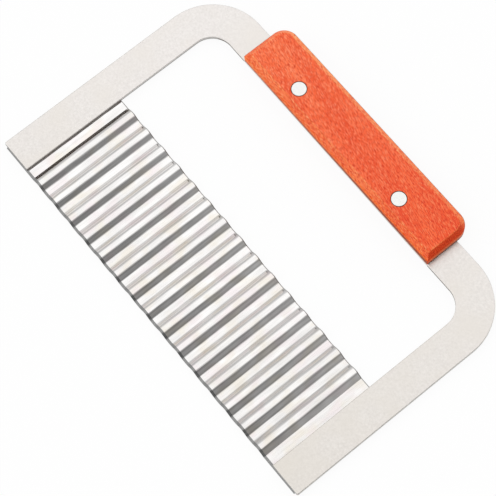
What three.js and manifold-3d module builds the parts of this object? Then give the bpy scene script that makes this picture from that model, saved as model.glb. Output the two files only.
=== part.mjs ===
// Crinkle cutter: a waved steel blade welded behind the legs of a flat steel bow, with a wooden grip
// riveted to the front of the bow's bridge. Millimetres. +X runs along the blade, +Y from the cutting
// edge to the grip, and +Z out of the front. The tool lies on its back with its base at Z = 0.
import * as THREE from 'three';
import { mergeVertices } from 'three/addons/utils/BufferGeometryUtils.js';
import Module from 'manifold-3d';

// Bow: one flat blank, two legs joined by a bridge
const bowSpan = 180; // over the outer sides of the legs
const bowHeight = 108.8; // leg ends to the bridge's outer edge
const bowThickness = 1.5;
const legWidth = 14.3;
const bridgeWidth = 15.1;
const bowOuterRadius = 24.2;
const bowInnerRadius = 9.5;
const legCornerRadius = 0.8;

// Blade: one thin strip, pressed into waves between two flat tabs
const bladeHeight = 47;
const bladeSheet = 0.9;
const edgeProud = 0.4; // cutting edge past the leg ends
const tabInset = 1.5; // tab ends short of the legs' outer sides
const wavePitch = 9.65;
const waveDepth = 2;
const waveShares = [1, 0.1, -0.026]; // of one, two and three cosines per pitch; they narrow the crests
const bendRadius = 0.6; // inside radius where the outer waves meet the lands
const leastLand = 4; // flat kept clear beside each leg
const bevelWidth = 1;
const edgeThickness = 0.2; // what the bevel leaves at the cutting edge

// Grip: one flat block, flush with the bridge's inner edge
const gripLength = 110.7;
const gripThickness = 6;
const gripOverhang = 7; // past the bridge's outer edge
const gripShift = -1.8; // middle of the grip from the middle of the bow
const gripCornerRadius = 6.4;
const gripChamfer = 2.2; // around the front face

// Rivets: a sleeve with the front head, and a pin with the tail head
const rivetSpacing = 59.5;
const headDiameter = 6;
const headHeight = 1.4;
const headClearance = 0.25;
const sleeveWall = 0.7;
const sleeveClearance = 0.15;
const sleeveSetback = 0.3; // sleeve end short of the bow's back
const boreRoof = 1.2; // solid metal left under the front head
const pinDiameter = 2.4;
const pinClearance = 0.05;
const pinEndGap = 1;
const tailDiameter = 7;
const tailHeight = 0.9;

// Smoothness of the round parts
const roundSegments = 24;
const waveDivisions = 16;
const bendDivisions = 3;
const mergeTolerance = 1e-4;

// Places along Y, from the cutting edge
const bridgeOuter = edgeProud + bowHeight;
const bridgeInner = bridgeOuter - bridgeWidth;
const gripOuter = bridgeOuter + gripOverhang;
const rivetLine = bridgeInner + bridgeWidth / 2;

// Places along X, from the middle
const legOuter = bowSpan / 2;
const legInner = legOuter - legWidth;
const gripLeft = gripShift - gripLength / 2;
const gripRight = gripShift + gripLength / 2;
const rivetLeft = gripShift - rivetSpacing / 2;
const rivetRight = gripShift + rivetSpacing / 2;
const bladeEnd = legOuter - tabInset;

// Waves of the sheet's middle line; the outer flanks run straight on from their steepest place to the lands
const waveStep = wavePitch / waveDivisions;
const steepest = waveStep * Array.from({ length: waveDivisions / 2 }, (_, i) => -i)
  .reduce((best, i) => (waveAt(i * waveStep).slope > waveAt(best * waveStep).slope ? i : best));
const flankSlope = Math.atan(waveAt(steepest).slope);
const waveFoot = waveAt(steepest).height / waveAt(steepest).slope - steepest;
const crestCount = Math.floor((legInner - leastLand - waveFoot) * 2 / wavePitch) + 1;
const firstCrest = -(crestCount - 1) / 2 * wavePitch;
const bendMiddle = bendRadius + bladeSheet / 2;
const bendStart = firstCrest - waveFoot - bendMiddle * Math.tan(flankSlope / 2);

// Places along Z, from the bow's back
const gripFront = bowThickness + gripThickness;
const headSeat = gripFront - headHeight;
const boreEnd = headSeat - boreRoof;
const sheetMiddle = -bladeSheet / 2;

const pinRadius = pinDiameter / 2;
const boreRadius = pinRadius + pinClearance;
const sleeveRadius = boreRadius + sleeveWall;
const headRadius = headDiameter / 2;
const tailRadius = tailDiameter / 2;
const quarterTurn = Math.PI / 2;

const wasm = await Module();
wasm.setup();

const satinSteel = new THREE.MeshStandardMaterial({ color: 0xd9d7d1, roughness: 0.45, metalness: 0.9 });
const brightSteel = new THREE.MeshStandardMaterial({ color: 0xe4e4e2, roughness: 0.15, metalness: 1 });
const stainedWood = new THREE.MeshStandardMaterial({ color: 0xd4552a, roughness: 0.5, metalness: 0 });
const rivetMetal = new THREE.MeshStandardMaterial({ color: 0xf0f0ee, roughness: 0.3, metalness: 0.9 });

// A closed geometry as a solid that can be cut, without the slivers that a turned profile has on its axis
function solidFrom(geometry) {
  const bare = geometry.clone();
  bare.deleteAttribute('normal');
  bare.deleteAttribute('uv');
  const merged = mergeVertices(bare, mergeTolerance);
  const corners = merged.index.array;
  const triVerts = [];
  for (let i = 0; i < corners.length; i += 3) {
    const [a, b, c] = corners.slice(i, i + 3);
    if (a !== b && b !== c && c !== a) {
      triVerts.push(a, b, c);
    }
  }
  return new wasm.Manifold(new wasm.Mesh({
    numProp: 3,
    vertProperties: new Float32Array(merged.getAttribute('position').array),
    triVerts: new Uint32Array(triVerts),
  }));
}

function geometryFrom(solid) {
  const { vertProperties, triVerts } = solid.getMesh();
  const geometry = new THREE.BufferGeometry();
  geometry.setAttribute('position', new THREE.BufferAttribute(new Float32Array(vertProperties), 3));
  geometry.setIndex(new THREE.BufferAttribute(new Uint32Array(triVerts), 1));
  geometry.computeVertexNormals();
  return geometry;
}

function namedMesh(name, solid, material) {
  const mesh = new THREE.Mesh(geometryFrom(solid), material);
  mesh.name = name;
  return mesh;
}

// A solid of revolution about Z from [radius, z] points that start and end on the axis
function turned(profile) {
  const points = profile.map(([radius, z]) => new THREE.Vector2(radius, z));
  return new THREE.LatheGeometry(points, roundSegments).rotateX(quarterTurn);
}

function cutAtRivets(solid, profile) {
  let rest = solid;
  for (const x of [rivetLeft, rivetRight]) {
    const cutter = turned(profile).translate(x, rivetLine, 0);
    rest = rest.subtract(solidFrom(cutter));
  }
  return rest;
}

function bowOutline() {
  const outline = new THREE.Shape();
  const cornerX = legOuter - legCornerRadius;
  const cornerY = edgeProud + legCornerRadius;
  const bendX = legOuter - bowOuterRadius;
  const bendY = bridgeOuter - bowOuterRadius;
  const innerX = legInner - bowInnerRadius;
  const innerY = bridgeInner - bowInnerRadius;
  outline.absarc(cornerX, cornerY, legCornerRadius, -quarterTurn, 0);
  outline.absarc(bendX, bendY, bowOuterRadius, 0, quarterTurn);
  outline.absarc(-bendX, bendY, bowOuterRadius, quarterTurn, Math.PI);
  outline.absarc(-cornerX, cornerY, legCornerRadius, Math.PI, Math.PI + quarterTurn);
  outline.lineTo(-legInner, edgeProud);
  outline.absarc(-innerX, innerY, bowInnerRadius, Math.PI, quarterTurn, true);
  outline.absarc(innerX, innerY, bowInnerRadius, quarterTurn, 0, true);
  outline.lineTo(legInner, edgeProud);
  return outline;
}

function bow() {
  const plate = new THREE.ExtrudeGeometry(bowOutline(), {
    depth: bowThickness,
    bevelEnabled: false,
    curveSegments: roundSegments / 4,
  });
  const holeRadius = sleeveRadius + sleeveClearance;
  const hole = [
    [0, -bowThickness],
    [holeRadius, -bowThickness],
    [holeRadius, bowThickness * 2],
    [0, bowThickness * 2],
  ];
  return namedMesh('bow_frame', cutAtRivets(solidFrom(plate), hole), satinSteel);
}

// Height and slope of the middle line at a distance from a crest
function waveAt(x) {
  const waves = waveShares.map((share, i) => ({ share, turn: (i + 1) * 2 * Math.PI / wavePitch }));
  const level = (at) => waves.reduce((sum, { share, turn }) => sum + share * Math.cos(turn * at), 0);
  const rise = waves.reduce((sum, { share, turn }) => sum - share * turn * Math.sin(turn * x), 0);
  const valley = level(wavePitch / 2);
  const scale = waveDepth / (level(0) - valley);
  return { height: scale * (level(x) - valley), slope: scale * rise };
}

// Middle line of the sheet from left to right, with the tilt of the sheet at each place
function middleLine() {
  const land = [{ x: -bladeEnd, z: 0, tilt: 0 }];
  for (let i = 0; i <= bendDivisions; i += 1) {
    const tilt = flankSlope * i / bendDivisions;
    land.push({ x: bendStart + bendMiddle * Math.sin(tilt), z: bendMiddle * (1 - Math.cos(tilt)), tilt });
  }
  const waves = [];
  const last = (crestCount - 1) * wavePitch - steepest;
  for (let i = Math.round(steepest / waveStep); i * waveStep <= last + mergeTolerance; i += 1) {
    const { height, slope } = waveAt(i * waveStep);
    waves.push({ x: firstCrest + i * waveStep, z: height, tilt: Math.atan(slope) });
  }
  const farLand = land.map(({ x, z, tilt }) => ({ x: -x, z, tilt: -tilt })).reverse();
  return [...land, ...waves, ...farLand];
}

// Section of the sheet across its waves, as thick as given in front of the back face
function sheetSection(thickness) {
  const line = middleLine();
  const face = (offset) => line.map(({ x, z, tilt }) => new THREE.Vector2(
    x - offset * Math.sin(tilt),
    sheetMiddle + z + offset * Math.cos(tilt),
  ));
  return [...face(-bladeSheet / 2), ...face(thickness - bladeSheet / 2).reverse()];
}

// A closed skin through sections of equal count, each at its own Y
function loft(stations) {
  const count = stations[0].section.length;
  const positions = stations.flatMap(({ section, y }) => section.flatMap((point) => [point.x, y, point.y]));
  const index = [];
  for (let start = 0; start < count * (stations.length - 1); start += count) {
    for (let i = 0; i < count; i += 1) {
      const a = start + i;
      const b = start + (i + 1) % count;
      index.push(a, b + count, b, a, a + count, b + count);
    }
  }
  const last = count * (stations.length - 1);
  for (const [a, b, c] of THREE.ShapeUtils.triangulateShape(stations[0].section, [])) {
    index.push(a, b, c);
  }
  for (const [a, b, c] of THREE.ShapeUtils.triangulateShape(stations.at(-1).section, [])) {
    index.push(last + a, last + c, last + b);
  }
  const geometry = new THREE.BufferGeometry();
  geometry.setAttribute('position', new THREE.Float32BufferAttribute(positions, 3));
  geometry.setIndex(index);
  return geometry;
}

// The bevel is ground on the front and follows the waves
function blade() {
  const sheet = loft([
    { section: sheetSection(edgeThickness), y: 0 },
    { section: sheetSection(bladeSheet), y: bevelWidth },
    { section: sheetSection(bladeSheet), y: bladeHeight },
  ]);
  return namedMesh('crinkle_blade', solidFrom(sheet), brightSteel);
}

function gripOutline() {
  const outline = new THREE.Shape();
  const cornerY = gripOuter - gripCornerRadius;
  outline.moveTo(gripLeft, bridgeInner);
  outline.lineTo(gripRight, bridgeInner);
  outline.absarc(gripRight - gripCornerRadius, cornerY, gripCornerRadius, 0, quarterTurn);
  outline.absarc(gripLeft + gripCornerRadius, cornerY, gripCornerRadius, quarterTurn, Math.PI);
  return outline;
}

// The front edges are chamfered; the back is flat on the bow, and each rivet hole is stepped for its head
function grip() {
  const block = new THREE.ExtrudeGeometry(gripOutline(), {
    depth: gripThickness - gripChamfer,
    bevelThickness: gripChamfer,
    bevelSize: gripChamfer,
    bevelOffset: -gripChamfer,
    bevelSegments: 1,
    curveSegments: roundSegments / 4,
  });
  const flatBacked = solidFrom(block.translate(0, 0, bowThickness)).trimByPlane([0, 0, 1], bowThickness);
  const holeRadius = sleeveRadius + sleeveClearance;
  const recessRadius = headRadius + headClearance;
  const steppedHole = [
    [0, 0],
    [holeRadius, 0],
    [holeRadius, headSeat],
    [recessRadius, headSeat],
    [recessRadius, gripFront + headHeight],
    [0, gripFront + headHeight],
  ];
  return namedMesh('wooden_grip', cutAtRivets(flatBacked, steppedHole), stainedWood);
}

function rivet(side, x) {
  const sleeve = turned([
    [0, boreEnd],
    [boreRadius, boreEnd],
    [boreRadius, sleeveSetback],
    [sleeveRadius, sleeveSetback],
    [sleeveRadius, headSeat],
    [headRadius, headSeat],
    [headRadius, gripFront],
    [0, gripFront],
  ]);
  const pin = turned([
    [0, -tailHeight],
    [tailRadius, -tailHeight],
    [tailRadius, 0],
    [pinRadius, 0],
    [pinRadius, boreEnd - pinEndGap],
    [0, boreEnd - pinEndGap],
  ]);
  const pair = new THREE.Group();
  pair.add(namedMesh(`${side}_rivet_sleeve`, solidFrom(sleeve), rivetMetal));
  pair.add(namedMesh(`${side}_rivet_pin`, solidFrom(pin), rivetMetal));
  pair.position.set(x, rivetLine, 0);
  return pair;
}

const crinkleCutter = new THREE.Group();
crinkleCutter.add(bow());
crinkleCutter.add(blade());
crinkleCutter.add(grip());
crinkleCutter.add(rivet('left', rivetLeft));
crinkleCutter.add(rivet('right', rivetRight));
crinkleCutter.position.set(0, -gripOuter / 2, Math.max(bladeSheet, tailHeight));

export default crinkleCutter;
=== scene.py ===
import math

import bmesh
import bpy
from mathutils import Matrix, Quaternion, Vector, noise


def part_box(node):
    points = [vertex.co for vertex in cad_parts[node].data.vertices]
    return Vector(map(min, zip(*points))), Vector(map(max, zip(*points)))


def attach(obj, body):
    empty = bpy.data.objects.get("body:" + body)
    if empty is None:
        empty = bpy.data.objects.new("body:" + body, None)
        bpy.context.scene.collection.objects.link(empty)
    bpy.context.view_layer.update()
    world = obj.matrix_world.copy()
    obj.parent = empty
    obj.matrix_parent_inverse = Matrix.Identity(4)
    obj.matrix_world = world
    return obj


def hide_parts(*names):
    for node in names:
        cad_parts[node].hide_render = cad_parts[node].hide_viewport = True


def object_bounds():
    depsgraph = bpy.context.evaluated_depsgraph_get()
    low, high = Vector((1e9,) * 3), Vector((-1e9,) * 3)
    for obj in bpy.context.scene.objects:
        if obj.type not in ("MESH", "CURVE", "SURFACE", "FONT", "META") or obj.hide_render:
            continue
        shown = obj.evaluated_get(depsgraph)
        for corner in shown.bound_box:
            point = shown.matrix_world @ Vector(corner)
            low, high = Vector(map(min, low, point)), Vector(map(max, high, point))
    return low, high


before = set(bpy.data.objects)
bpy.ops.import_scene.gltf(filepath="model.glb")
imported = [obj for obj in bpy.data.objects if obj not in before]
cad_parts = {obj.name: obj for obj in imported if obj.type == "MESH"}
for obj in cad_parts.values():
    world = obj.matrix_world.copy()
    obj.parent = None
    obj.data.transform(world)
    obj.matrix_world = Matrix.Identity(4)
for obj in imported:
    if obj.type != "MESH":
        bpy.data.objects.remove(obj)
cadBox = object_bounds()
mm = 0.001
print("frame loaded with", len(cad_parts), "nodes")


camera = {
    "place": (0.18794, -0.12856, 0.62983),
    "lookAt": (0.00487, -0.01181, 0.00247),
    "roll": -6.86,  # degrees about the line of sight
    "lens": 126.56,
    "sensor": 36.0,
}


def setCamera():
    data = bpy.data.cameras.new("cutterCamera")
    data.lens = camera["lens"]
    data.sensor_width = camera["sensor"]
    eye = bpy.data.objects.new("cutterCamera", data)
    bpy.context.collection.objects.link(eye)
    sight = Vector(camera["lookAt"]) - Vector(camera["place"])
    turn = Quaternion((0, 0, 1), math.radians(camera["roll"]))
    eye.location = camera["place"]
    eye.rotation_mode = "QUATERNION"
    eye.rotation_quaternion = sight.to_track_quat("-Z", "Y") @ turn
    bpy.context.scene.camera = eye


setCamera()
print("camera set")


# a value that is a socket is linked, any other is set on the input
def setInputs(tree, node, inputs):
    for key, value in inputs.items():
        if isinstance(value, bpy.types.NodeSocket):
            tree.links.new(value, node.inputs[key])
        else:
            node.inputs[key].default_value = value


def addNode(tree, kind, inputs=None, **settings):
    made = tree.nodes.new(kind)
    for name, value in settings.items():
        setattr(made, name, value)
    setInputs(tree, made, inputs or {})
    return made


def startMaterial(name):
    material = bpy.data.materials.new(name)
    material.use_nodes = True
    return material, material.node_tree, material.node_tree.nodes["Principled BSDF"]


# object coordinates counted in steps of the given size, turned in degrees about Z
def stretched(tree, size, turn=0.0, shift=(0, 0, 0)):
    coords = addNode(tree, "ShaderNodeTexCoord").outputs
    return addNode(tree, "ShaderNodeMapping", {
        "Vector": coords["Object"],
        "Location": shift,
        "Rotation": (0, 0, math.radians(turn)),
        "Scale": size,
    }, vector_type="TEXTURE").outputs["Vector"]


noiseReach = (0.3, 0.7)  # where most of a noise texture's values lie


def cloud(tree, space, detail=2.0, rough=0.5, twist=0.0):
    return addNode(tree, "ShaderNodeTexNoise", {
        "Vector": space,
        "Scale": 1.0,
        "Detail": detail,
        "Roughness": rough,
        "Distortion": twist,
    }).outputs["Fac"]


def ramp(tree, factor, stops):
    made = addNode(tree, "ShaderNodeValToRGB", {"Fac": factor})
    elements = made.color_ramp.elements
    while len(elements) < len(stops):
        elements.new(1.0)
    for element, (position, colour) in zip(elements, stops):
        element.position = position
        element.color = (*colour, 1.0)
    return made.outputs["Color"]


def between(tree, factor, first, second, reach=noiseReach):
    return ramp(tree, factor, [(reach[0], first), (reach[1], second)])


def remap(tree, value, fromLow, fromHigh, toLow, toHigh, kind="LINEAR"):
    return addNode(tree, "ShaderNodeMapRange", {
        "Value": value,
        "From Min": fromLow,
        "From Max": fromHigh,
        "To Min": toLow,
        "To Max": toHigh,
    }, interpolation_type=kind).outputs["Result"]


# a plain second colour is given as three numbers
def mixColours(tree, factor, first, second, blend="MIX"):
    if isinstance(second, tuple):
        second = (*second, 1.0)
    return addNode(tree, "ShaderNodeMix", {0: factor, 6: first, 7: second},
                   data_type="RGBA", blend_type=blend).outputs[2]


def tinted(tree, tone, factor, tint):
    return mixColours(tree, factor, tone, tint, "MULTIPLY")


def mixValues(tree, factor, first, second):
    return addNode(tree, "ShaderNodeMix", {0: factor, 2: first, 3: second}).outputs[0]


def calculate(tree, operation, first, second, clamp=False):
    return addNode(tree, "ShaderNodeMath", {0: first, 1: second},
                   operation=operation, use_clamp=clamp).outputs["Value"]


def reachAlong(tree, vector, way):
    return addNode(tree, "ShaderNodeVectorMath", {0: vector, 1: way}, operation="DOT_PRODUCT").outputs["Value"]


def axes(tree, vector):
    return addNode(tree, "ShaderNodeSeparateXYZ", {"Vector": vector}).outputs


def bumpFrom(tree, height, distance, strength, under=None):
    inputs = {"Height": height, "Strength": strength, "Distance": distance}
    if under is not None:
        inputs["Normal"] = under
    return addNode(tree, "ShaderNodeBump", inputs).outputs["Normal"]


# a cover says over which values of its noise a tint comes in, and from what share to what share
satinLook = {
    "dull": (0.690, 0.660, 0.636),
    "clear": (0.812, 0.780, 0.757),
    "warm": (0.745, 0.708, 0.668),
    "warmCover": (0.4, 0.7, 0.0, 0.7),
    "shade": (0.92, 0.915, 0.89),
    "shadeWay": (0.6, -0.8, 0.0),  # painted shade, darker towards the right leg and the cutting edge
    "shadeReach": (-60 * mm, 100 * mm),
    "roughness": (0.38, 0.48),
    "patchSize": (0.9 * mm, 0.9 * mm, 0.9 * mm),
    "tintSize": (14 * mm, 14 * mm, 14 * mm),
    "strokeSize": (4 * mm, 0.12 * mm, 0.12 * mm),  # fine rubbing marks
    "strokeTurn": 33.0,
    "strokeDepth": 0.003 * mm,
}


def satinSteel():
    look = satinLook
    material, tree, shader = startMaterial("satinSteel")
    patches = cloud(tree, stretched(tree, look["patchSize"]), detail=5, rough=0.7)
    tints = cloud(tree, stretched(tree, look["tintSize"]), detail=1)
    strokes = cloud(tree, stretched(tree, look["strokeSize"], look["strokeTurn"]), detail=3)
    tone = between(tree, patches, look["dull"], look["clear"])
    tone = mixColours(tree, remap(tree, tints, *look["warmCover"]), tone, look["warm"])
    coords = addNode(tree, "ShaderNodeTexCoord").outputs
    # painted shade: the steel darker towards the right leg and the cutting edge
    reached = reachAlong(tree, coords["Object"], look["shadeWay"])
    tone = tinted(tree, tone, remap(tree, reached, *look["shadeReach"], 0.0, 1.0), look["shade"])
    setInputs(tree, shader, {
        "Base Color": tone,
        "Roughness": remap(tree, strokes, *noiseReach, *look["roughness"]),
        "Normal": bumpFrom(tree, strokes, look["strokeDepth"], strength=0.4),
        "Metallic": 1.0,
    })
    return material


brightLook = {
    "hazy": (0.775, 0.763, 0.752),
    "clear": (0.885, 0.874, 0.865),
    "clearReach": (0.3, 0.65),
    "warm": (0.800, 0.752, 0.676),
    "warmCover": (0.48, 0.67, 0.0, 0.8),
    "rosy": (0.822, 0.752, 0.762),
    "rosyCover": (0.50, 0.67, 0.0, 0.7),
    "streak": (0.92, 0.92, 0.92),
    "streakCover": (0.35, 0.6, 1.0, 0.0),
    "shade": (0.94, 0.935, 0.93),  # painted shade, a little darker towards the right end
    "shadeReach": (15 * mm, 80 * mm),
    "roughness": (0.13, 0.06),  # where it is hazy, and where it is clear
    "hazeSize": (4 * mm, 12 * mm, 4 * mm),
    "tintSize": (5 * mm, 9 * mm, 5 * mm),
    "drawSize": (0.4 * mm, 14 * mm, 0.4 * mm),  # fine lines along the flutes
    "drawDepth": 0.04 * mm,
    "swellSize": (3.5 * mm, 11 * mm, 3.5 * mm),  # shallow unevenness of the pressed sheet
    "swellDepth": 0.2 * mm,
    "flankShade": (0.75, 0.74, 0.735),  # painted shade, low on the left flanks of the flutes
    "flankShadeTop": (2.2 * mm, 1.8 * mm),
    "flankShadeFacing": (-0.46, -0.57),
}


def brightSteel():
    look = brightLook
    material, tree, shader = startMaterial("brightSteel")
    haze = cloud(tree, stretched(tree, look["hazeSize"]), detail=4)
    warmth = cloud(tree, stretched(tree, look["tintSize"], shift=(0.3, 0.1, 0.2)), detail=2)
    blush = cloud(tree, stretched(tree, look["tintSize"], shift=(0.7, 0.4, 0.5)), detail=2)
    lines = cloud(tree, stretched(tree, look["drawSize"]), detail=2)
    swell = cloud(tree, stretched(tree, look["swellSize"]), detail=1)
    tone = between(tree, haze, look["hazy"], look["clear"], look["clearReach"])
    tone = mixColours(tree, remap(tree, warmth, *look["warmCover"]), tone, look["warm"])
    tone = mixColours(tree, remap(tree, blush, *look["rosyCover"]), tone, look["rosy"])
    tone = tinted(tree, tone, remap(tree, lines, *look["streakCover"]), look["streak"])
    coords = addNode(tree, "ShaderNodeTexCoord").outputs
    place, facing = axes(tree, coords["Object"]), axes(tree, coords["Normal"])
    # painted shade: the blade a little darker towards the right end
    tone = tinted(tree, tone, remap(tree, place["X"], *look["shadeReach"], 0.0, 1.0), look["shade"])
    # painted shade low on the left flanks of the flutes
    lowDown = remap(tree, place["Z"], *look["flankShadeTop"], 0.0, 1.0)
    tone = tinted(tree, tone, remap(tree, facing["X"], *look["flankShadeFacing"], 0.0, lowDown), look["flankShade"])
    dented = bumpFrom(tree, swell, look["swellDepth"], strength=0.5)
    setInputs(tree, shader, {
        "Base Color": tone,
        "Roughness": remap(tree, haze, *noiseReach, *look["roughness"]),
        "Normal": bumpFrom(tree, lines, look["drawDepth"], strength=0.4, under=dented),
        "Metallic": 1.0,
    })
    return material


cutLook = {
    "dark": (0.30, 0.295, 0.285),
    "pale": (0.46, 0.455, 0.44),
    "roughness": (0.35, 0.55),
    "grainSize": (0.12 * mm, 0.12 * mm, 1.5 * mm),  # marks that shearing leaves across the edge
    "grainDepth": 0.02 * mm,
    "metallic": 1.0,
    "specular": 0.5,
}

paintedShadeLook = {
    "dark": (0.125, 0.112, 0.102),  # painted shade: in the corners beside the blade, on the bridge's inner wall beside the grip and at the tops of steep flanks
    "pale": (0.270, 0.245, 0.225),
    "roughness": (0.5, 0.7),
    "grainSize": (0.3 * mm, 0.3 * mm, 0.6 * mm),
    "grainDepth": 0.02 * mm,
    "metallic": 1.0,
    "specular": 0.5,
}

groundLook = {
    "dark": (0.16, 0.16, 0.16),
    "pale": (0.30, 0.30, 0.295),
    "roughness": (0.20, 0.34),
    "grainSize": (0.06 * mm, 2 * mm, 2 * mm),  # wheel marks square to the edge
    "grainDepth": 0.006 * mm,
    "metallic": 1.0,
    "specular": 0.5,
}

glueLook = {
    "dark": (0.160, 0.038, 0.014),
    "pale": (0.340, 0.075, 0.028),
    "roughness": (0.5, 0.75),
    "grainSize": (0.4 * mm, 0.4 * mm, 0.4 * mm),
    "grainDepth": 0.03 * mm,
    "metallic": 0.0,
    "specular": 0.2,
}


# one noise drives the tone, the roughness and the relief
def grainedFinish(name, look):
    material, tree, shader = startMaterial(name)
    grain = cloud(tree, stretched(tree, look["grainSize"]), detail=3)
    setInputs(tree, shader, {
        "Base Color": between(tree, grain, look["dark"], look["pale"]),
        "Roughness": remap(tree, grain, *noiseReach, *look["roughness"]),
        "Normal": bumpFrom(tree, grain, look["grainDepth"], strength=0.5),
        "Metallic": look["metallic"],
        "Specular IOR Level": look["specular"],
    })
    return material


woodLook = {
    "deep": (0.86, 0.070, 0.013),
    "middle": (0.96, 0.117, 0.028),
    "light": (1.00, 0.185, 0.064),
    "toneStops": (0.36, 0.5, 0.66),
    "fibreShare": 0.5,  # of the tone, the rest goes by the bands
    "fleck": (0.71, 0.033, 0.001),
    "fleckCover": (0.38, 0.50, 1.0, 0.0),
    "glint": (1.00, 0.260, 0.125),
    "glintCover": (0.53, 0.65, 0.0, 0.8),
    "endDark": (0.48, 0.026, 0.003),
    "endPale": (0.80, 0.066, 0.014),
    "endReach": (0.36, 0.64),
    "leftTint": (1.00, 1.18, 1.19),
    "middleTint": (0.96, 0.95, 0.90),
    "rightTint": (0.955, 0.84, 0.62),
    "chamferLight": (1.06, 1.42, 1.14),  # painted light on the chamfers
    # painted highlight along the ridges and on the outer side
    "ridgeLight": (1.02, 1.60, 1.65),
    "wallShadeTint": (0.36, 0.40, 0.42),  # painted shade on the walls
    "wallShadeTop": (2.9 * mm, 5.2 * mm),  # on the inner wall, higher towards the right end
    "wallShadeFade": 0.9 * mm,
    # painted shade on the left end, toning down the paler chamfer
    "leftEnd": (0.90, 0.82, 0.82),
    "wallEnd": (0.84, 0.160, 0.056),  # end grain of the upright end wall, with painted light from the steel below
    # painted shade where the end wall meets the steel
    "wallFootShade": (0.140, 0.050, 0.022),
    "footTop": (3.5 * mm, 4.6 * mm),
    "tintReach": 55 * mm,
    "grainTurn": -11.0,  # degrees from the length of the grip
    "bandSize": (60 * mm, 6 * mm, 8 * mm),
    "fibreSize": (6 * mm, 0.45 * mm, 0.45 * mm),
    "fleckSize": (1.7 * mm, 0.30 * mm, 0.30 * mm),
    "poreDepth": 0.03 * mm,
    "roughness": (0.38, 0.55),
    "gloss": (0.33, 0.05),  # on the front, and on the walls and the right end
}

# over which part of the faces' normals a zone of the grip comes in, and from what share to what share
woodZones = {
    "chamferLit": (0.55, 0.9, 1.0, 0.0),
    "outerSide": (0.3, 0.6, 0.0, 0.8),
    "wall": (0.58, 0.69, 1.0, 0.0),
    "innerSide": (-0.75, -0.6, 1.0, 0.0),
    "leftEnd": (-0.35, -0.68, 0.0, 1.0),
    "rightEnd": (0.35, 0.68, 0.0, 0.88),
    "uprightEnd": (0.80, 0.92, 0.0, 1.0),
    "ridgeStops": (0.72, 0.82, 0.95, 1.0),  # in over the first two, out over the last two
    "unshadedReach": (0.35, 0.7),  # the painted wall shade ends here
    "dullReach": (0.35, 0.9),
}


def stainedWood():
    look, zones = woodLook, woodZones
    material, tree, shader = startMaterial("stainedWood")
    turn = look["grainTurn"]
    bands = cloud(tree, stretched(tree, look["bandSize"], turn), detail=3, twist=0.4)
    fibres = cloud(tree, stretched(tree, look["fibreSize"], turn), detail=3)
    flecks = cloud(tree, stretched(tree, look["fleckSize"], turn), detail=1)
    glints = cloud(tree, stretched(tree, look["fleckSize"], turn, (0.4, 0.7, 0.2)), detail=1)
    stops = list(zip(look["toneStops"], (look["deep"], look["middle"], look["light"])))
    tone = mixColours(tree, look["fibreShare"], ramp(tree, bands, stops), ramp(tree, fibres, stops))
    tone = mixColours(tree, remap(tree, flecks, *look["fleckCover"]), tone, look["fleck"])
    tone = mixColours(tree, remap(tree, glints, *look["glintCover"]), tone, look["glint"])

    # the stain varies along the grip
    coords = addNode(tree, "ShaderNodeTexCoord").outputs
    place, facing = axes(tree, coords["Object"]), axes(tree, coords["Normal"])
    reach = look["tintReach"]
    stops = [(0.0, look["leftTint"]), (0.5, look["middleTint"]), (1.0, look["rightTint"])]
    tone = tinted(tree, tone, 1.0, ramp(tree, remap(tree, place["X"], -reach, reach, 0.0, 1.0), stops))

    # painted light: chamfers, ridges and the outer side made paler
    tone = tinted(tree, tone, remap(tree, facing["Z"], *zones["chamferLit"]), look["chamferLight"])
    hidden, shown = (0, 0, 0), (1, 1, 1)
    ridge = ramp(tree, facing["Z"], list(zip(zones["ridgeStops"], (hidden, shown, shown, hidden))))
    outer = remap(tree, facing["Y"], *zones["outerSide"])
    tone = tinted(tree, tone, calculate(tree, "MAXIMUM", ridge, outer), look["ridgeLight"])

    # painted shade low on the walls, but not on the right end
    wall = remap(tree, facing["Z"], *zones["wall"])
    inner = remap(tree, facing["Y"], *zones["innerSide"])
    wallShadeTop = remap(tree, place["X"], -reach, reach, *look["wallShadeTop"])
    wallShadeEnd = calculate(tree, "ADD", wallShadeTop, look["wallShadeFade"])
    lowDown = remap(tree, place["Z"], wallShadeTop, wallShadeEnd, 1.0, 0.0)
    wallShadeMask = mixValues(tree, inner, wall, lowDown)
    wallShadeMask = remap(tree, facing["X"], *zones["unshadedReach"], wallShadeMask, 0.0)
    tone = tinted(tree, tone, wallShadeMask, look["wallShadeTint"])

    # the ends: end grain, with painted shade on the left end, painted light on the upright right end wall and
    # painted shade at its foot
    tone = tinted(tree, tone, remap(tree, facing["X"], *zones["leftEnd"]), look["leftEnd"])
    endGrain = between(tree, glints, look["endDark"], look["endPale"], look["endReach"])
    tone = mixColours(tree, remap(tree, facing["X"], *zones["rightEnd"]), tone, endGrain)
    upright = remap(tree, facing["X"], *zones["uprightEnd"])
    tone = mixColours(tree, upright, tone, look["wallEnd"])
    # painted shade at the foot of the upright end wall
    tone = mixColours(tree, remap(tree, place["Z"], *look["footTop"], upright, 0.0), tone, look["wallFootShade"])

    side = calculate(tree, "MAXIMUM", facing["X"], wall)
    setInputs(tree, shader, {
        "Base Color": tone,
        "Roughness": remap(tree, fibres, *noiseReach, *look["roughness"]),
        "Normal": bumpFrom(tree, flecks, look["poreDepth"], strength=0.5),
        "Specular IOR Level": remap(tree, side, *zones["dullReach"], *look["gloss"]),
    })
    return material


rivetLook = {
    "dull": (0.73, 0.735, 0.715),
    "clear": (0.79, 0.795, 0.775),
    "roughness": (0.2, 0.34),
    "patchSize": (1.2 * mm, 1.2 * mm, 1.2 * mm),
    "scratchSize": (2.5 * mm, 0.08 * mm, 0.08 * mm),
    "scratchTurn": 40.0,
    "scratchDepth": 0.003 * mm,
}


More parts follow.
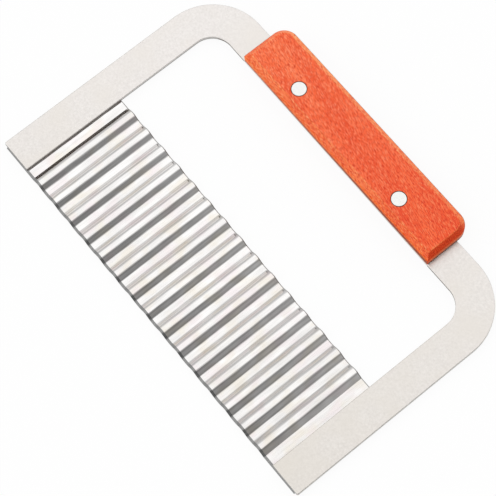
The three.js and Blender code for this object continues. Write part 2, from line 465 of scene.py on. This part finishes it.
def rivetMetal():
    look = rivetLook
    material, tree, shader = startMaterial("rivetMetal")
    patches = cloud(tree, stretched(tree, look["patchSize"]), detail=3)
    marks = cloud(tree, stretched(tree, look["scratchSize"], look["scratchTurn"]), detail=2)
    setInputs(tree, shader, {
        "Base Color": between(tree, patches, look["dull"], look["clear"]),
        "Roughness": remap(tree, marks, *noiseReach, *look["roughness"]),
        "Normal": bumpFrom(tree, marks, look["scratchDepth"], strength=0.4),
        "Metallic": 1.0,
    })
    return material


finishes = {
    "satin": satinSteel(),
    "cut": grainedFinish("cutSteel", cutLook),
    "paintedShade": grainedFinish("paintedShadeSteel", paintedShadeLook),
    "bright": brightSteel(),
    "ground": grainedFinish("groundSteel", groundLook),
    "wood": stainedWood(),
    "glue": grainedFinish("glueLine", glueLook),
    "rivet": rivetMetal(),
}
print("finishes made:", ", ".join(finishes))


def arcPoints(centre, radius, start, end, steps):
    angles = [math.radians(start + (end - start) * i / steps) for i in range(steps + 1)]
    return [(centre[0] + radius * math.cos(a), centre[1] + radius * math.sin(a)) for a in angles]


# a flat solid between two heights from an outline that runs anticlockwise
def slabFrom(outline, low, high):
    shape = bmesh.new()
    under = [shape.verts.new((x, y, low)) for x, y in outline]
    over = [shape.verts.new((x, y, high)) for x, y in outline]
    shape.faces.new(list(reversed(under)))
    shape.faces.new(over)
    for i in range(len(outline)):
        j = (i + 1) % len(outline)
        shape.faces.new((under[i], under[j], over[j], over[i]))
    shape.normal_update()
    return shape


# a solid turned about Z from (radius, height) points that start and end on the axis
def turnedFrom(profile, steps):
    shape = bmesh.new()
    rings = []
    for radius, z in profile:
        count = steps if radius > 0 else 1
        turns = [2 * math.pi * i / count for i in range(count)]
        rings.append([shape.verts.new((radius * math.cos(a), radius * math.sin(a), z)) for a in turns])
    for lower, upper in zip(rings, rings[1:]):
        for i in range(steps):
            j = (i + 1) % steps
            corners = [lower[i % len(lower)], lower[j % len(lower)]]
            corners += [upper[j % len(upper)], upper[i % len(upper)]]
            shape.faces.new(list(dict.fromkeys(corners)))
    bmesh.ops.recalc_face_normals(shape, faces=shape.faces)
    return shape


def rimEdges(shape, height):
    def onLevel(edge):
        return all(abs(vert.co.z - height) < 1e-7 for vert in edge.verts)
    return [edge for edge in shape.edges if onLevel(edge)]


def addPiece(name, shape, node, materials, place=(0, 0, 0)):
    mesh = bpy.data.meshes.new(name)
    shape.to_mesh(mesh)
    shape.free()
    for material in materials:
        mesh.materials.append(finishes[material])
    piece = bpy.data.objects.new(name, mesh)
    piece.location = place
    bpy.context.collection.objects.link(piece)
    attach(piece, "root")
    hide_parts(node)
    return piece


def cutAway(piece, shape, places):
    mesh = bpy.data.meshes.new("cutter")
    shape.to_mesh(mesh)
    shape.free()
    for place in places:
        cutter = bpy.data.objects.new("cutter", mesh)
        cutter.location = place
        bpy.context.collection.objects.link(cutter)
        cut = piece.modifiers.new("cut", "BOOLEAN")
        cut.object = cutter
        cut.solver = "EXACT"
        bpy.context.view_layer.update()
        solid = piece.evaluated_get(bpy.context.evaluated_depsgraph_get())
        whole = piece.data
        piece.data = bpy.data.meshes.new_from_object(solid)
        piece.modifiers.remove(cut)
        bpy.data.objects.remove(cutter)
        bpy.data.meshes.remove(whole)
    bpy.data.meshes.remove(mesh)


# smooth over the bends, crisp past the given angle, with flats kept flat
def shadeSmooth(piece, angle):
    piece.data.polygons.foreach_set("use_smooth", [True] * len(piece.data.polygons))
    piece.data.set_sharp_from_angle(angle=math.radians(angle))
    weighted = piece.modifiers.new("flatNormals", "WEIGHTED_NORMAL")
    weighted.keep_sharp = True


rivet = {
    "sleeveRadius": 1.95 * mm,
    "boreRadius": 1.25 * mm,
    "headHeight": 1.4 * mm,
    "boreRoof": 1.2 * mm,
    "holeClearance": 0.15 * mm,
    "headClearance": 0.25 * mm,
    "headEase": 0.12 * mm,
    "pinRadius": 1.2 * mm,
    "tailHeight": 0.9 * mm,
    "tailEase": 0.35 * mm,
    "steps": 64,
    "easeSteps": 4,
    "crispAngle": 40,
}


def rivetPlaces():
    places = {}
    for side in ("left", "right"):
        low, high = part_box(side + "_rivet_sleeve")
        places[side] = ((low.x + high.x) / 2, (low.y + high.y) / 2, 0.0)
    return places


def easedCorner(radius, z, ease, up):
    steps = rivet["easeSteps"]
    points = []
    for i in range(steps + 1):
        angle = math.pi / 2 * i / steps
        points.append((radius - ease + ease * math.cos(angle), z + up * (ease * math.sin(angle) - ease)))
    return points


def buildRivets():
    for side, place in rivetPlaces().items():
        low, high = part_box(side + "_rivet_sleeve")
        headRadius = (high.x - low.x) / 2
        seat = high.z - rivet["headHeight"]
        roof = seat - rivet["boreRoof"]
        profile = [
            (0, roof),
            (rivet["boreRadius"], roof),
            (rivet["boreRadius"], low.z),
            (rivet["sleeveRadius"], low.z),
            (rivet["sleeveRadius"], seat),
            (headRadius, seat),
        ]
        profile += easedCorner(headRadius, high.z, rivet["headEase"], 1)
        profile += [(headRadius / 2, high.z), (0, high.z)]
        sleeve = addPiece(side + "RivetSleeve", turnedFrom(profile, rivet["steps"]), side + "_rivet_sleeve",
                          ["rivet"], place)
        shadeSmooth(sleeve, rivet["crispAngle"])

        low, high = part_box(side + "_rivet_pin")
        tailRadius = (high.x - low.x) / 2
        profile = [(0, low.z), (tailRadius / 2, low.z)]
        profile += list(reversed(easedCorner(tailRadius, low.z, rivet["tailEase"], -1)))
        profile += [
            (tailRadius, low.z + rivet["tailHeight"]),
            (rivet["pinRadius"], low.z + rivet["tailHeight"]),
            (rivet["pinRadius"], high.z),
            (0, high.z),
        ]
        pin = addPiece(side + "RivetPin", turnedFrom(profile, rivet["steps"]), side + "_rivet_pin",
                       ["rivet"], place)
        shadeSmooth(pin, rivet["crispAngle"])


buildRivets()
print("rivets built")


bow = {
    "leftLegWidth": 14.7 * mm,
    "rightLegWidth": 14.3 * mm,
    "bridgeWidth": 15.1 * mm,
    "leftNarrowing": 0.5 * mm,  # of the bridge, at the left bend
    "outerRadius": 24.2 * mm,
    "innerRadius": 9.5 * mm,
    "cornerRadius": 0.8 * mm,
    "frontEase": 0.4 * mm,  # rolled over by the stamping die
    "backEase": 0.15 * mm,
    "rolledFacing": (0.1, 0.6),  # lower half of the rolled edge, which takes the darker cut finish as painted shade along the outline
    "rolledSide": 0.3,  # but not where it faces right
    "sideFacing": 0.9,  # a wall counts as facing a side from here on
    "bridgeFacing": 0.8,  # the inner wall of the bridge runs a little further into its bends
    "bendSteps": 32,
    "cornerSteps": 8,
    "bevelSteps": 4,
    "crispAngle": 40,
}


def bowOutline(low, high):
    outer, inner, corner = bow["outerRadius"], bow["innerRadius"], bow["cornerRadius"]
    leftX = low.x + bow["leftLegWidth"]
    rightX = high.x - bow["rightLegWidth"]
    innerY = high.y - bow["bridgeWidth"]
    bendSteps, cornerSteps = bow["bendSteps"], bow["cornerSteps"]
    outline = arcPoints((high.x - corner, low.y + corner), corner, -90, 0, cornerSteps)
    outline += arcPoints((high.x - outer, high.y - outer), outer, 0, 90, bendSteps)
    outline += arcPoints((low.x + outer, high.y - outer), outer, 90, 180, bendSteps)
    outline += arcPoints((low.x + corner, low.y + corner), corner, 180, 270, cornerSteps)
    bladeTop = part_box("crinkle_blade")[1].y
    gripLow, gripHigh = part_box("wooden_grip")
    outline += [(leftX, low.y), (leftX, bladeTop)]
    leftY = innerY + bow["leftNarrowing"]
    fall = bow["leftNarrowing"] / (rightX - leftX - 2 * inner)
    outline += arcPoints((leftX + inner, leftY - inner), inner, 180, 90, bendSteps)
    outline += [(x, leftY - fall * (x - leftX - inner)) for x in (gripLow.x, gripHigh.x)]
    outline += arcPoints((rightX - inner, innerY - inner), inner, 90, 0, bendSteps)
    outline += [(rightX, bladeTop), (rightX, low.y)]
    return outline


# inner walls of the legs that the blade runs against, and of the bridge beside the grip, which take painted
# shade
def isPaintedShade(face, high):
    spot = face.calc_center_median()
    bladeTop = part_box("crinkle_blade")[1].y
    if spot.y > bladeTop:
        return face.normal.y < -bow["bridgeFacing"]
    return abs(face.normal.x) > bow["sideFacing"] and abs(spot.x) < high.x - bow["rightLegWidth"] + mm


# inner wall of the bridge below the grip
def isUnderGrip(face, high):
    spot = face.calc_center_median()
    gripLow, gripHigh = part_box("wooden_grip")
    inside = high.y - bow["bridgeWidth"] - mm < spot.y < high.y - mm
    return face.normal.y < -bow["sideFacing"] and inside and gripLow.x < spot.x < gripHigh.x


def buildBow():
    low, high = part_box("bow_frame")
    shape = slabFrom(bowOutline(low, high), low.z, high.z)
    for face in shape.faces:
        if abs(face.normal.z) < 0.5 and not isUnderGrip(face, high):
            # walls take the cut finish, and painted shade in the corners beside the blade and on the bridge's
            # inner wall
            face.material_index = 2 if isPaintedShade(face, high) else 1
    for level, ease in ((low.z, bow["backEase"]), (high.z, bow["frontEase"])):
        bmesh.ops.bevel(shape, geom=rimEdges(shape, level), offset=ease, segments=bow["bevelSteps"],
                        profile=0.5, affect="EDGES", material=0)
    # painted shade: the lower half of the rolled front edge takes the darker cut finish
    rolledLow, rolledHigh = bow["rolledFacing"]
    for face in shape.faces:
        outward = face.normal.xy.dot(face.calc_center_median().xy) > 0
        if outward and face.normal.x < bow["rolledSide"] and rolledLow < face.normal.z < rolledHigh:
            face.material_index = 1
    piece = addPiece("steelBow", shape, "bow_frame", ["satin", "cut", "paintedShade"])
    hole = rivet["sleeveRadius"] + rivet["holeClearance"]
    thick = high.z - low.z
    drill = [(0, low.z - thick), (hole, low.z - thick), (hole, high.z + thick), (0, high.z + thick)]
    cutAway(piece, turnedFrom(drill, rivet["steps"]), rivetPlaces().values())
    shadeSmooth(piece, bow["crispAngle"])


buildBow()
print("bow built")


blade = {
    "pitch": 9.65 * mm,
    "depth": 2.0 * mm,
    "shares": (1.0, 0.1, -0.026),  # of one, two and three cosines per pitch
    "crests": 15,
    "sheet": 0.9 * mm,
    "bendRadius": 0.6 * mm,  # where the outer waves meet the lands
    "bevel": 1.0 * mm,
    "edgeThickness": 0.2 * mm,
    "topEase": 0.4 * mm,
    "markSlope": 0.35,  # right flanks as steep as this get painted shade at the top edge
    "waveSteps": 32,
    "bendSteps": 6,
    "ringGap": 3.0 * mm,
    "unevenness": 0.02 * mm,
    "unevenSize": (7 * mm, 14 * mm),
    "unevenFade": 4 * mm,  # towards the lands
    "crispAngle": 25,
}


# height and slope of the sheet's middle at a distance from a crest
def waveAt(x):
    turns = [(share, (i + 1) * 2 * math.pi / blade["pitch"]) for i, share in enumerate(blade["shares"])]

    def level(at):
        return sum(share * math.cos(turn * at) for share, turn in turns)

    valley = level(blade["pitch"] / 2)
    scale = blade["depth"] / (level(0) - valley)
    slope = -scale * sum(share * turn * math.sin(turn * x) for share, turn in turns)
    return scale * (level(x) - valley), slope


# (x, z, tilt) along the middle of the sheet; the outer flanks run straight on down to the flat lands
def middleLine(low):
    steps = blade["waveSteps"]
    gap = blade["pitch"] / steps
    steepest = max(range(steps // 2), key=lambda i: waveAt(-i * gap)[1])
    height, slope = waveAt(-steepest * gap)
    tilt = math.atan(slope)
    radius = blade["bendRadius"] + blade["sheet"] / 2
    firstCrest = -(blade["crests"] - 1) / 2 * blade["pitch"]
    start = firstCrest - steepest * gap - height / slope - radius * math.tan(tilt / 2)
    land = [(low.x, 0.0, 0.0)]
    for i in range(blade["bendSteps"] + 1):
        turn = tilt * i / blade["bendSteps"]
        land.append((start + radius * math.sin(turn), radius * (1 - math.cos(turn)), turn))
    waves = []
    for i in range(-steepest, (blade["crests"] - 1) * steps + steepest + 1):
        height, slope = waveAt(i * gap)
        waves.append((firstCrest + i * gap, height, math.atan(slope)))
    return land + waves + [(-x, z, -turn) for x, z, turn in reversed(land)]


# one line across the waves, at a height above the back of the sheet
def bladeLine(low, height):
    lift = height - blade["sheet"] / 2
    line = []
    for x, z, tilt in middleLine(low):
        line.append((x - lift * math.sin(tilt), low.z + blade["sheet"] / 2 + z + lift * math.cos(tilt)))
    return line


# (y, back, front) from the cutting edge to the top, with heights above the back of the sheet
def bladeStations(low, high):
    sheet, ease = blade["sheet"], blade["topEase"]
    start = low.y + blade["bevel"]
    end = high.y - ease
    count = round((end - start) / blade["ringGap"])
    stations = [(low.y, 0.0, blade["edgeThickness"]), (start, 0.0, sheet)]
    stations += [(start + (end - start) * i / count, 0.0, sheet) for i in range(1, count)]
    stations += [(end, 0.0, sheet), (high.y, ease / 2, sheet - ease)]
    return stations


def unevenAt(x, y, reach):
    fade = min(1.0, max(0.0, (reach - abs(x)) / blade["unevenFade"]))
    sizeX, sizeY = blade["unevenSize"]
    return blade["unevenness"] * fade * abs(noise.noise(Vector((x / sizeX, y / sizeY, 0.0))))


def buildBlade():
    low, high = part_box("crinkle_blade")
    reach = blade["crests"] * blade["pitch"] / 2
    shape = bmesh.new()
    backs, fronts = [], []
    for y, back, front in bladeStations(low, high):
        for rows, height in ((backs, back), (fronts, front)):
            line = bladeLine(low, height)
            rows.append([shape.verts.new((x, y, z + unevenAt(x, y, reach))) for x, z in line])
    bright, ground, cut, paintedShade = range(4)
    last = len(fronts) - 1
    for k in range(last):
        finish = {0: ground, last - 1: cut}.get(k, bright)
        for i in range(len(fronts[0]) - 1):
            face = shape.faces.new((fronts[k][i], fronts[k][i + 1], fronts[k + 1][i + 1], fronts[k + 1][i]))
            step = fronts[k][i + 1].co - fronts[k][i].co
            # painted shade at the top edge of the steep right flanks
            marked = k == last - 1 and -step.z > blade["markSlope"] * step.x
            face.material_index = paintedShade if marked else finish
            face = shape.faces.new((backs[k][i + 1], backs[k][i], backs[k + 1][i], backs[k + 1][i + 1]))
            face.material_index = cut if k == last - 1 else bright
        for i in (0, -1):
            face = shape.faces.new((backs[k][i], fronts[k][i], fronts[k + 1][i], backs[k + 1][i]))
            face.material_index = cut
    for k in (0, last):
        for i in range(len(fronts[0]) - 1):
            face = shape.faces.new((backs[k][i], backs[k][i + 1], fronts[k][i + 1], fronts[k][i]))
            face.material_index = cut
    bmesh.ops.recalc_face_normals(shape, faces=shape.faces)
    piece = addPiece("wavedBlade", shape, "crinkle_blade",
                     ["bright", "ground", "cut", "paintedShade"])
    shadeSmooth(piece, blade["crispAngle"])


buildBlade()
print("blade built")


grip = {
    "cornerRadius": 6.4 * mm,
    "innerCorner": 0.5 * mm,
    "leftNarrowing": 0.45 * mm,  # along the bow's inner edge
    "leastCorner": 0.05 * mm,
    "chamfer": 2.2 * mm,
    "ridgeEase": 0.4 * mm,
    "rimEase": 0.6 * mm,
    "backEase": 0.2 * mm,
    "glueMargin": 0.05 * mm,  # round the recesses of the rivets, and below their rims
    "cornerSteps": 16,
    "easeSteps": 4,
    "crispAngle": 30,
}


def gripOutline(low, high, inset):
    outer = max(grip["cornerRadius"] - inset, grip["leastCorner"])
    inner = max(grip["innerCorner"] - inset, grip["leastCorner"])
    left, right = low.x + inset, high.x - inset
    near, far = low.y + inset, high.y - inset
    steps = grip["cornerSteps"]
    outline = arcPoints((right - inner, near + inner), inner, -90, 0, steps // 4)
    outline += arcPoints((right - outer, far - outer), outer, 0, 90, steps)
    outline += arcPoints((left + outer, far - outer), outer, 90, 180, steps)
    nearLeft = near + grip["leftNarrowing"]
    outline += arcPoints((left + inner, nearLeft + inner), inner, 180, 270, steps // 4)
    return outline


# a bend of the section, rounded off over the given length
def easedBend(before, bend, after, ease):
    before, bend, after = Vector(before), Vector(bend), Vector(after)
    start = bend + (before - bend).normalized() * ease
    end = bend + (after - bend).normalized() * ease
    steps = grip["easeSteps"]
    points = []
    for i in range(steps + 1):
        t = i / steps
        points.append(start * (1 - t) ** 2 + bend * 2 * t * (1 - t) + end * t ** 2)
    return points


# (inset, height) points from the back of the grip to its front
def gripSection(low, high):
    chamfer = grip["chamfer"]
    corners = [
        (chamfer, low.z),
        (0.0, low.z),
        (0.0, high.z - chamfer),
        (chamfer, high.z),
        (chamfer * 2, high.z),
    ]
    section = easedBend(*corners[0:3], grip["backEase"])
    section += easedBend(*corners[1:4], grip["rimEase"])
    section += easedBend(*corners[2:5], grip["ridgeEase"])
    return section


def buildGrip():
    low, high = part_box("wooden_grip")
    shape = bmesh.new()
    rings = []
    for inset, z in gripSection(low, high):
        rings.append([shape.verts.new((x, y, z)) for x, y in gripOutline(low, high, inset)])
    count = len(rings[0])
    for lower, upper in zip(rings, rings[1:]):
        for i in range(count):
            j = (i + 1) % count
            shape.faces.new((lower[i], lower[j], upper[j], upper[i]))
    shape.faces.new(list(reversed(rings[0])))
    shape.faces.new(rings[-1])
    piece = addPiece("woodenGrip", shape, "wooden_grip", ["wood", "glue"])
    sleeveLow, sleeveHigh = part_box("left_rivet_sleeve")
    hole = rivet["sleeveRadius"] + rivet["holeClearance"]
    recess = (sleeveHigh.x - sleeveLow.x) / 2 + rivet["headClearance"]
    seat = high.z - rivet["headHeight"]
    above = high.z + rivet["headHeight"]
    below = low.z - rivet["headHeight"]
    drill = [(0, below), (hole, below), (hole, seat), (recess, seat), (recess, above), (0, above)]
    places = rivetPlaces().values()
    cutAway(piece, turnedFrom(drill, rivet["steps"]), places)
    margin = grip["glueMargin"]
    for polygon in piece.data.polygons:
        x, y, z = polygon.center
        inRecess = any(math.hypot(x - px, y - py) < recess + margin for px, py, pz in places)
        polygon.material_index = 1 if inRecess and z < high.z - margin else 0
    shadeSmooth(piece, grip["crispAngle"])


buildGrip()
print("grip built")


studio = {
    "tent": 1.165,
    "leftEdge": 0.60,
    "leftReach": (-1.0, -0.72),
    "darkSide": (0.97, -0.24, 0.0),  # the open side of the tent
    "darkReach": (0.31, 0.66),
    "darkest": 0.26,
    "dim": 0.37,  # further out, past the edge of the opening
    "dimReach": (0.68, 0.82),
    "darkRise": (0.108, 0.18, 0.77, 1.28),  # the opening is darker at its near side
    "farRise": (0.02, 0.3, 1.0, 1.07),  # the tent is a little brighter behind the grip
    "farFall": (0.3, 0.7, 1.0, 0.9),
    "nearRise": (-0.9, -0.3, 1.15, 1.0),
    "floorColour": (0.95, 0.95, 0.95, 1),
    "floorSize": 3.0,
    "floorGap": 0.05 * mm,
    "shadowKept": 0.10,
}


def buildWorld():
    world = bpy.data.worlds.new("softTent")
    world.use_nodes = True
    bpy.context.scene.world = world
    tree = world.node_tree
    tree.nodes.clear()
    coords = addNode(tree, "ShaderNodeTexCoord").outputs["Generated"]
    towards = reachAlong(tree, coords, studio["darkSide"])
    depth = axes(tree, coords)["Y"]
    lit = remap(tree, towards, *studio["leftReach"], studio["leftEdge"], studio["tent"], "SMOOTHSTEP")
    share = remap(tree, towards, *studio["darkReach"], 0.0, 1.0, "SMOOTHSTEP")
    dark = remap(tree, towards, *studio["dimReach"], studio["darkest"], studio["dim"], "SMOOTHSTEP")
    dark = calculate(tree, "MULTIPLY", dark, remap(tree, depth, *studio["darkRise"]))
    strength = mixValues(tree, share, lit, dark)
    for side in ("farRise", "farFall", "nearRise"):
        strength = calculate(tree, "MULTIPLY", strength, remap(tree, depth, *studio[side]))
    tent = addNode(tree, "ShaderNodeBackground", {"Color": (1, 1, 1, 1), "Strength": strength})
    addNode(tree, "ShaderNodeOutputWorld", {"Surface": tent.outputs["Background"]})


def floorMaterial():
    material = bpy.data.materials.new("paleFloor")
    material.use_nodes = True
    tree = material.node_tree
    tree.nodes.clear()
    matt = addNode(tree, "ShaderNodeBsdfDiffuse", {"Color": studio["floorColour"]})
    white = addNode(tree, "ShaderNodeEmission", {"Color": (1, 1, 1, 1), "Strength": 1.0})
    rays = addNode(tree, "ShaderNodeLightPath").outputs
    seen = calculate(tree, "ADD", rays["Is Camera Ray"], rays["Is Glossy Ray"])
    seen = calculate(tree, "ADD", seen, rays["Is Transmission Ray"], clamp=True)
    both = addNode(tree, "ShaderNodeMixShader", {
        0: calculate(tree, "MULTIPLY", seen, 1 - studio["shadowKept"]),
        1: matt.outputs["BSDF"],
        2: white.outputs["Emission"],
    })
    addNode(tree, "ShaderNodeOutputMaterial", {"Surface": both.outputs["Shader"]})
    return material


def buildFloor():
    shape = bmesh.new()
    bmesh.ops.create_grid(shape, x_segments=2, y_segments=2, size=studio["floorSize"])
    mesh = bpy.data.meshes.new("floor")
    shape.to_mesh(mesh)
    shape.free()
    mesh.materials.append(floorMaterial())
    floor = bpy.data.objects.new("floor", mesh)
    floor.location.z = cadBox[0][2] - studio["floorGap"]
    bpy.context.collection.objects.link(floor)


buildWorld()
buildFloor()
bpy.context.scene.view_settings.view_transform = "Standard"
print("studio lit")
